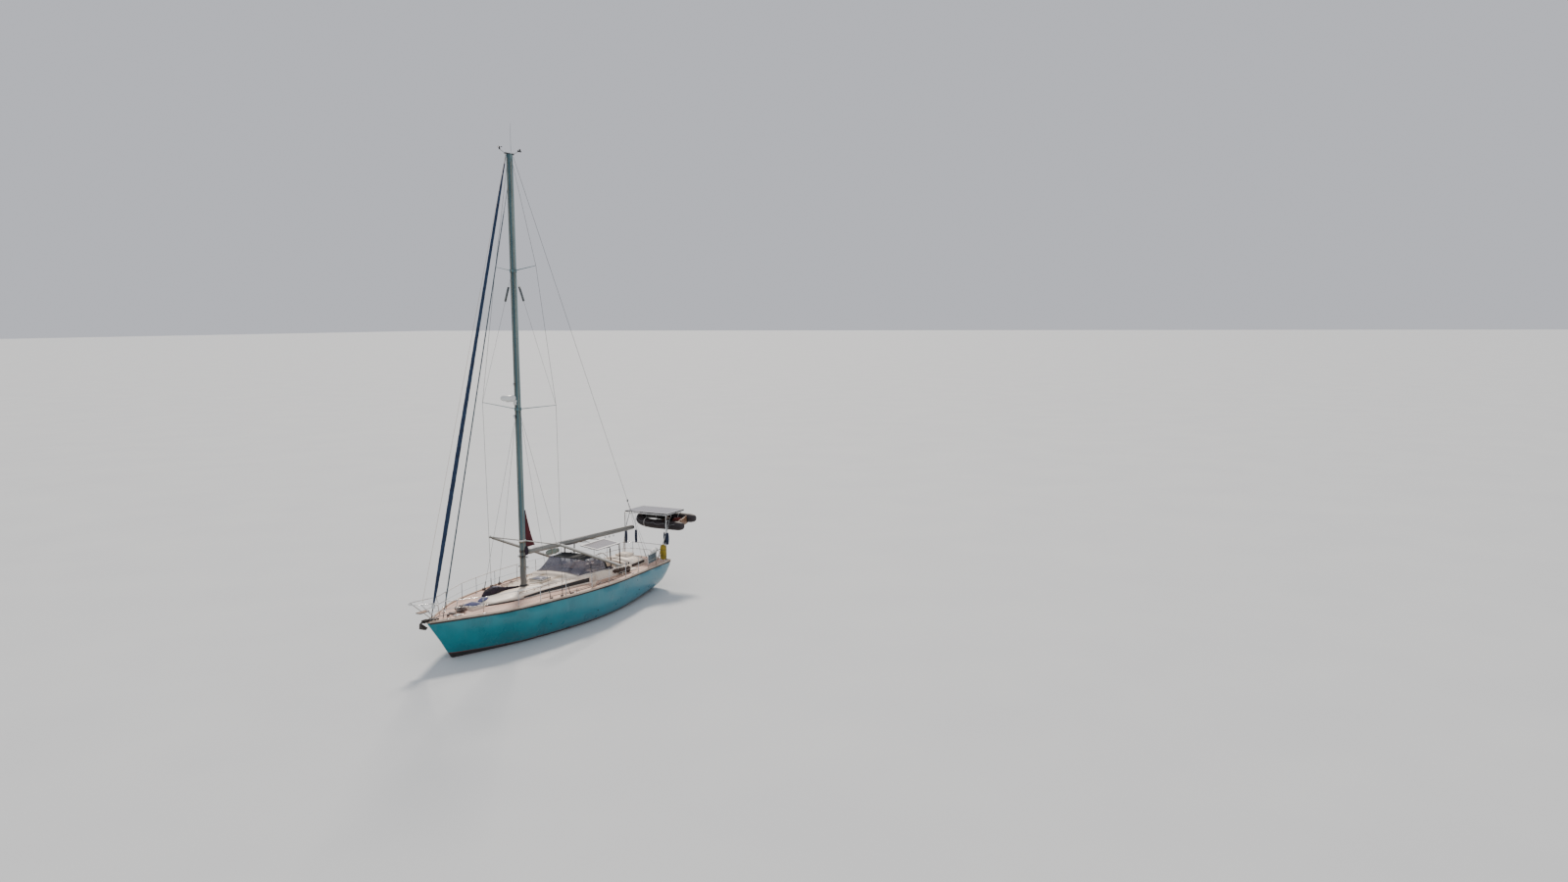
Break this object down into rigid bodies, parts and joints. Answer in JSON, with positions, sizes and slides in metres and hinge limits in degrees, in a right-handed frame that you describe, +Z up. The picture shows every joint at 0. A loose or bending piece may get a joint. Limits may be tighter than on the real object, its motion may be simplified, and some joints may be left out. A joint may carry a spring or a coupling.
{
  "type": "cruising sailing yacht with a sloop rig",
  "caption": "Cruising sloop afloat with its whole hull and keel, furled sails, twin poles, stern arch and tender; rudder, wheel, screw, boom, poles and hatches move.",
  "frame": {"origin": "on the waterline, amidships on the centreline, halfway between the stem head and the transom", "axes": "+X towards the bow, +Y to port, +Z up"},
  "size_m": [16.1225, 4.1384, 21.6],
  "materials": {
    "hull_gelcoat": "weathered teal gelcoat, bleached towards the stern",
    "keel_iron": "cast iron under dark antifouling",
    "teak_deck": "bare teak planks with dark caulking, bleached by the sun",
    "teak_rail": "bare teak cap rail",
    "cream_gelcoat": "cream gelcoat, matt with age",
    "smoked_acrylic": "smoked acrylic",
    "varnished_teak": "varnished teak",
    "mast_alloy": "grey anodised aluminium, dull",
    "stainless": "polished stainless steel",
    "wire_rope": "stainless wire rope, dull",
    "white_moulding": "white moulded plastic",
    "solar_cells": "glass over solar cells that shine pale grey, in a white frame",
    "hood_canvas": "dark grey acrylic canvas with clear windows",
    "grey_canvas": "grey acrylic canvas",
    "navy_canvas": "navy blue sun strip of the rolled sail",
    "maroon_canvas": "dark maroon sun strip",
    "bag_cloth": "dark sail bag",
    "yellow_cloth": "yellow cover",
    "tender_rubber": "charcoal coated fabric tubes",
    "black_trim": "black moulded plastic and painted alloy",
    "galvanised": "galvanised steel, dull",
    "bronze": "bronze and antifouled composite under water",
    "rudder_paint": "dark antifouling",
    "engine_paint": "plain engine block"
  },
  "bodies": {
    "root": {"hull": "hull_gelcoat", "ballast_keel": "keel_iron", "deck": "teak_deck", "cap_rail": "teak_rail", "coachroof": "cream_gelcoat", "cockpit_coaming": "cream_gelcoat", "aft_trunk": "cream_gelcoat", "cabin_window_port": "smoked_acrylic", "cabin_window_starboard": "smoked_acrylic", "washboards": "varnished_teak", "mast": "mast_alloy", "lower_spreaders": "mast_alloy", "upper_spreaders": "mast_alloy", "pole_crossbar": "mast_alloy", "winch_port": "stainless", "winch_starboard": "stainless", "bimini_frame": "stainless", "lifelines_port": "stainless", "lifelines_starboard": "stainless", "pulpit": "stainless", "pushpit": "stainless", "stern_arch": "stainless", "stemhead": "stainless", "cap_shroud_port": "wire_rope", "cap_shroud_starboard": "wire_rope", "lower_shrouds_port": "wire_rope", "lower_shrouds_starboard": "wire_rope", "backstay": "wire_rope", "steering_pedestal": "white_moulding", "radar_dome": "white_moulding", "side_panel_port": "solar_cells", "side_panel_starboard": "solar_cells", "arch_solar_panel": "solar_cells", "spray_hood": "hood_canvas", "weather_cloth": "grey_canvas", "inner_stay": "grey_canvas", "mainsail_clew": "maroon_canvas", "foredeck_bag": "bag_cloth", "rescue_buoy": "yellow_cloth", "dinghy": "tender_rubber", "masthead_gear": "black_trim", "anchor": "galvanised", "windlass": "galvanised", "shaft_strut": "bronze", "engine_block": "engine_paint"},
    "rudder": {"rudder": "rudder_paint"},
    "wheel": {"steering_wheel": "stainless"},
    "propeller": {"propeller": "bronze"},
    "boom": {"boom": "mast_alloy"},
    "pole_port": {"pole_port": "mast_alloy"},
    "pole_starboard": {"pole_starboard": "mast_alloy"},
    "fore_hatch": {"fore_hatch": "smoked_acrylic"},
    "saloon_hatch": {"saloon_hatch": "smoked_acrylic"},
    "aft_hatch": {"aft_hatch": "cream_gelcoat"},
    "companionway": {"companionway_hatch": "smoked_acrylic"},
    "genoa": {"furler_drum": "white_moulding", "furled_genoa": "navy_canvas"}
  },
  "joints": [
    {"name": "rudder_turn", "type": "hinge", "parent": "root", "child": "rudder", "pos_m": [-5.29, 0, -0.9], "axis": [0, 0, 1], "range_deg": [-35, 35]},
    {"name": "wheel_turn", "type": "hinge", "parent": "root", "child": "wheel", "pos_m": [-3.31, 0, 1.72], "axis": [1, 0, 0], "range_deg": [-280, 280]},
    {"name": "propeller_spin", "type": "hinge", "parent": "root", "child": "propeller", "pos_m": [-4.12, 0, -0.85], "axis": [0.9844, 0, 0.1762], "continuous": true},
    {"name": "boom_swing", "type": "hinge", "parent": "root", "child": "boom", "pos_m": [1.56, 0, 3.085], "axis": [0, 0, 1], "range_deg": [-40, 40]},
    {"name": "pole_lift_port", "type": "hinge", "parent": "root", "child": "pole_port", "pos_m": [1.7, 1.738, 3.58], "axis": [0, 1, 0], "range_deg": [0, 80]},
    {"name": "pole_lift_starboard", "type": "hinge", "parent": "root", "child": "pole_starboard", "pos_m": [1.7, -1.738, 3.58], "axis": [0, 1, 0], "range_deg": [0, 80]},
    {"name": "fore_hatch_lift", "type": "hinge", "parent": "root", "child": "fore_hatch", "pos_m": [4.975, 0, 1.7], "axis": [0, 1, 0], "range_deg": [0, 80]},
    {"name": "saloon_hatch_lift", "type": "hinge", "parent": "root", "child": "saloon_hatch", "pos_m": [1.105, 0, 1.872], "axis": [0, 1, 0], "range_deg": [0, 80]},
    {"name": "aft_hatch_lift", "type": "hinge", "parent": "root", "child": "aft_hatch", "pos_m": [-4.695, 0, 1.752], "axis": [0, 1, 0], "range_deg": [0, 80]},
    {"name": "companionway_slide", "type": "slide", "parent": "root", "child": "companionway", "axis": [1, 0, 0], "range_m": [0, 0.42]},
    {"name": "furler_turn", "type": "hinge", "parent": "root", "child": "genoa", "pos_m": [6.72, 0, 1.76], "axis": [-0.2739, 0, 0.9618], "continuous": true}
  ],
  "couplings": [
    {"joint": "wheel_turn", "follows": "rudder_turn", "ratio": 8}
  ]
}
